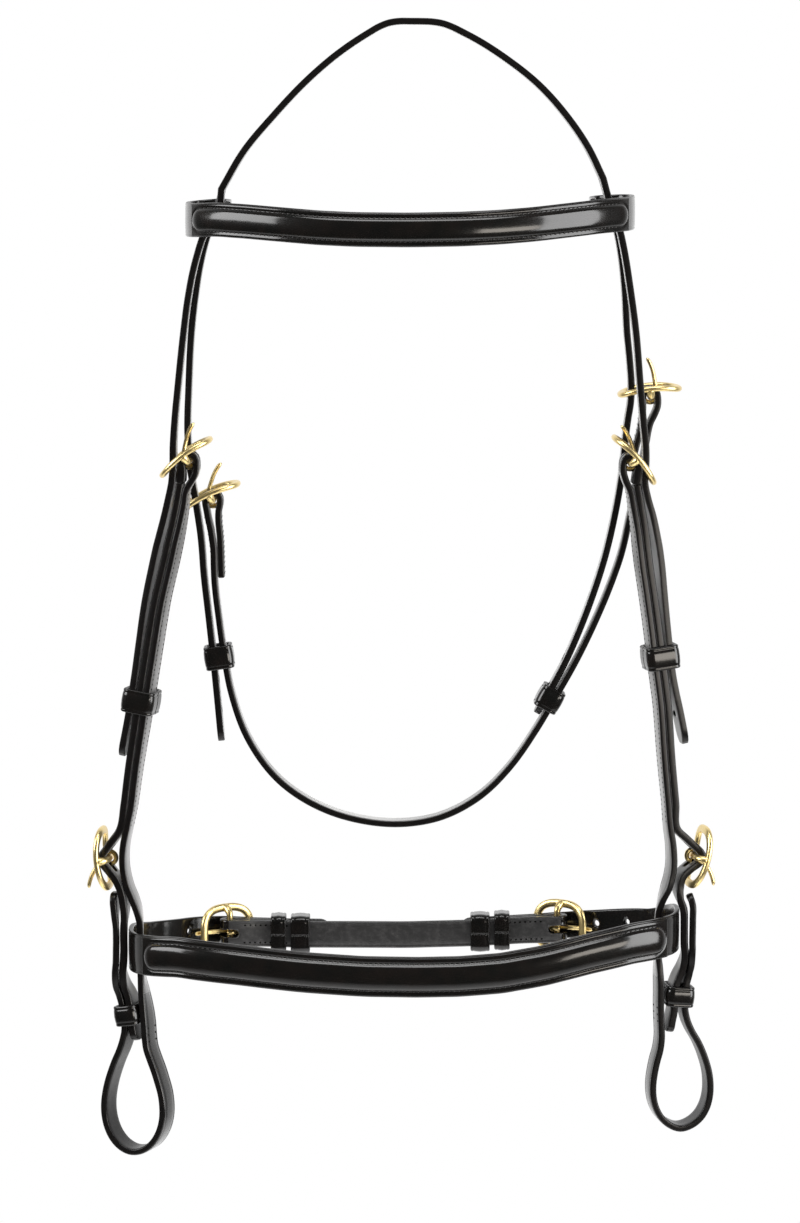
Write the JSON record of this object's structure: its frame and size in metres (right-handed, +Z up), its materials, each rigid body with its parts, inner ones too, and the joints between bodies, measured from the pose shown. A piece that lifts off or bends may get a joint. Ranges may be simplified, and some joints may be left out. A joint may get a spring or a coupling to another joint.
{
  "type": "in-hand bridle",
  "caption": "In-hand bridle of black leather: crown, browband, throatlatch, two-layer cheeks ending in bit loops, raised noseband with jaw strap, and whole buckles.",
  "frame": {"origin": "middle of the flat underside of the crown, where the bridle rests on the poll or hangs from a rack", "axes": "+Z up, -Y towards the horse's nose side that carries the browband, +X to the right as seen from the front"},
  "size_m": [0.3216, 0.1417, 0.5805],
  "materials": {
    "leather": "black, polished",
    "brass": "polished",
    "felt": "pressed felt, hidden"
  },
  "bodies": {
    "headstall": {"headpiece": "leather", "cheek_strap_left": "leather", "cheek_strap_right": "leather", "cheek_facing_left": "leather", "cheek_facing_right": "leather", "throatlatch": "leather"},
    "browband": {"browband_base": "leather", "browband_raised": "leather", "browband_filler": "felt"},
    "noseband": {"noseband_base": "leather", "noseband_raised": "leather", "noseband_filler": "felt", "jaw_strap": "leather", "noseband_keeper_fixed_left": "leather", "noseband_keeper_fixed_right": "leather"},
    "cheek_buckle_left_frame": {"cheek_buckle_left": "brass"},
    "cheek_buckle_tongue_left_body": {"cheek_buckle_tongue_left": "brass"},
    "cheek_buckle_right_frame": {"cheek_buckle_right": "brass"},
    "cheek_buckle_tongue_right_body": {"cheek_buckle_tongue_right": "brass"},
    "bit_buckle_left_frame": {"bit_buckle_left": "brass"},
    "bit_buckle_tongue_left_body": {"bit_buckle_tongue_left": "brass"},
    "bit_buckle_right_frame": {"bit_buckle_right": "brass"},
    "bit_buckle_tongue_right_body": {"bit_buckle_tongue_right": "brass"},
    "throat_buckle_left_frame": {"throat_buckle_left": "brass"},
    "throat_buckle_tongue_left_body": {"throat_buckle_tongue_left": "brass"},
    "throat_buckle_right_frame": {"throat_buckle_right": "brass"},
    "throat_buckle_tongue_right_body": {"throat_buckle_tongue_right": "brass"},
    "noseband_buckle_left_frame": {"noseband_buckle_left": "brass"},
    "noseband_buckle_tongue_left_body": {"noseband_buckle_tongue_left": "brass"},
    "noseband_buckle_right_frame": {"noseband_buckle_right": "brass"},
    "noseband_buckle_tongue_right_body": {"noseband_buckle_tongue_right": "brass"},
    "cheek_keeper_left_body": {"cheek_keeper_left": "leather"},
    "cheek_keeper_right_body": {"cheek_keeper_right": "leather"},
    "throat_keeper_left_body": {"throat_keeper_left": "leather"},
    "throat_keeper_right_body": {"throat_keeper_right": "leather"},
    "bit_keeper_left_body": {"bit_keeper_left": "leather"},
    "bit_keeper_right_body": {"bit_keeper_right": "leather"},
    "noseband_keeper_left_body": {"noseband_keeper_left": "leather"},
    "noseband_keeper_right_body": {"noseband_keeper_right": "leather"}
  },
  "joints": [
    {"name": "browband_slide", "type": "slide", "parent": "headstall", "child": "browband", "axis": [0, 0, 1], "range_m": [-0.006, 0.004]},
    {"name": "noseband_slide", "type": "slide", "parent": "headstall", "child": "noseband", "axis": [0, 0, 1], "range_m": [-0.005, 0]},
    {"name": "cheek_buckle_left_pivot", "type": "hinge", "parent": "headstall", "child": "cheek_buckle_left_frame", "pos_m": [-0.1104, -0.00811, -0.2192], "axis": [0.0223, 0.9998, 0], "range_deg": [-3, 45]},
    {"name": "cheek_buckle_tongue_left_pivot", "type": "hinge", "parent": "cheek_buckle_left_frame", "child": "cheek_buckle_tongue_left_body", "pos_m": [-0.1104, -0.00811, -0.2192], "axis": [0.0223, 0.9998, 0], "range_deg": [-12, 26]},
    {"name": "cheek_buckle_right_pivot", "type": "hinge", "parent": "headstall", "child": "cheek_buckle_right_frame", "pos_m": [0.113, -0.0081, -0.2202], "axis": [0.0235, -0.9997, 0], "range_deg": [-1, 45]},
    {"name": "cheek_buckle_tongue_right_pivot", "type": "hinge", "parent": "cheek_buckle_right_frame", "child": "cheek_buckle_tongue_right_body", "pos_m": [0.113, -0.0081, -0.2202], "axis": [0.0235, -0.9997, 0], "range_deg": [-12, 12]},
    {"name": "bit_buckle_left_pivot", "type": "hinge", "parent": "headstall", "child": "bit_buckle_left_frame", "pos_m": [-0.15201, -0.00666, -0.423], "axis": [0.1392, 0.9903, 0], "range_deg": [-6, 11]},
    {"name": "bit_buckle_tongue_left_pivot", "type": "hinge", "parent": "bit_buckle_left_frame", "child": "bit_buckle_tongue_left_body", "pos_m": [-0.15201, -0.00666, -0.423], "axis": [0.1392, 0.9903, 0], "range_deg": [-20, 35]},
    {"name": "bit_buckle_right_pivot", "type": "hinge", "parent": "headstall", "child": "bit_buckle_right_frame", "pos_m": [0.14628, -0.00579, -0.422], "axis": [0.2011, -0.9796, 0], "range_deg": [-5, 22]},
    {"name": "bit_buckle_tongue_right_pivot", "type": "hinge", "parent": "bit_buckle_right_frame", "child": "bit_buckle_tongue_right_body", "pos_m": [0.14628, -0.00579, -0.422], "axis": [0.2011, -0.9796, 0], "range_deg": [-25, 35]},
    {"name": "throat_buckle_left_pivot", "type": "hinge", "parent": "headstall", "child": "throat_buckle_left_frame", "pos_m": [-0.0993, 0.015, -0.2413], "axis": [0, 1, 0], "range_deg": [-18, 25]},
    {"name": "throat_buckle_tongue_left_pivot", "type": "hinge", "parent": "throat_buckle_left_frame", "child": "throat_buckle_tongue_left_body", "pos_m": [-0.0993, 0.015, -0.2413], "axis": [0, 1, 0], "range_deg": [-15, 26]},
    {"name": "throat_buckle_right_pivot", "type": "hinge", "parent": "headstall", "child": "throat_buckle_right_frame", "pos_m": [0.124, 0.015, -0.188], "axis": [0, -1, 0], "range_deg": [-8, 10]},
    {"name": "throat_buckle_tongue_right_pivot", "type": "hinge", "parent": "throat_buckle_right_frame", "child": "throat_buckle_tongue_right_body", "pos_m": [0.124, 0.015, -0.188], "axis": [0, -1, 0], "range_deg": [-25, 8]},
    {"name": "noseband_buckle_left_pivot", "type": "hinge", "parent": "noseband", "child": "noseband_buckle_left_frame", "pos_m": [-0.093, 0.0546, -0.47327], "axis": [0, 0, 1], "range_deg": [-1.5, 40]},
    {"name": "noseband_buckle_tongue_left_pivot", "type": "hinge", "parent": "noseband_buckle_left_frame", "child": "noseband_buckle_tongue_left_body", "pos_m": [-0.093, 0.0546, -0.47327], "axis": [0, 0, 1], "range_deg": [-5, 3]},
    {"name": "noseband_buckle_right_pivot", "type": "hinge", "parent": "noseband", "child": "noseband_buckle_right_frame", "pos_m": [0.079, 0.0546, -0.4711], "axis": [0, 0, -1], "range_deg": [-1.5, 40]},
    {"name": "noseband_buckle_tongue_right_pivot", "type": "hinge", "parent": "noseband_buckle_right_frame", "child": "noseband_buckle_tongue_right_body", "pos_m": [0.079, 0.0546, -0.4711], "axis": [0, 0, -1], "range_deg": [-5, 3]},
    {"name": "cheek_keeper_left_slide", "type": "slide", "parent": "headstall", "child": "cheek_keeper_left_body", "axis": [0.1549, -0.0393, 0.9871], "range_m": [-0.008, 0.007]},
    {"name": "cheek_keeper_right_slide", "type": "slide", "parent": "headstall", "child": "cheek_keeper_right_body", "axis": [-0.1213, -0.0258, 0.9923], "range_m": [-0.012, 0.012]},
    {"name": "throat_keeper_left_slide", "type": "slide", "parent": "headstall", "child": "throat_keeper_left_body", "axis": [-0.14, 0, 0.9901], "range_m": [-0.008, 0.012]},
    {"name": "throat_keeper_right_slide", "type": "slide", "parent": "headstall", "child": "throat_keeper_right_body", "axis": [0.4872, 0, 0.8733], "range_m": [-0.012, 0.012]},
    {"name": "bit_keeper_left_slide", "type": "slide", "parent": "headstall", "child": "bit_keeper_left_body", "axis": [-0.1486, 0.0561, 0.9873], "range_m": [-0.0025, 0.001]},
    {"name": "bit_keeper_right_slide", "type": "slide", "parent": "headstall", "child": "bit_keeper_right_body", "axis": [0.0787, 0.0139, 0.9968], "range_m": [-0.0025, 0.002]},
    {"name": "noseband_keeper_left_slide", "type": "slide", "parent": "noseband", "child": "noseband_keeper_left_body", "axis": [1, 0, 0], "range_m": [-0.001, 0.012]},
    {"name": "noseband_keeper_right_slide", "type": "slide", "parent": "noseband", "child": "noseband_keeper_right_body", "axis": [-1, 0, 0], "range_m": [-0.001, 0.012]}
  ]
}
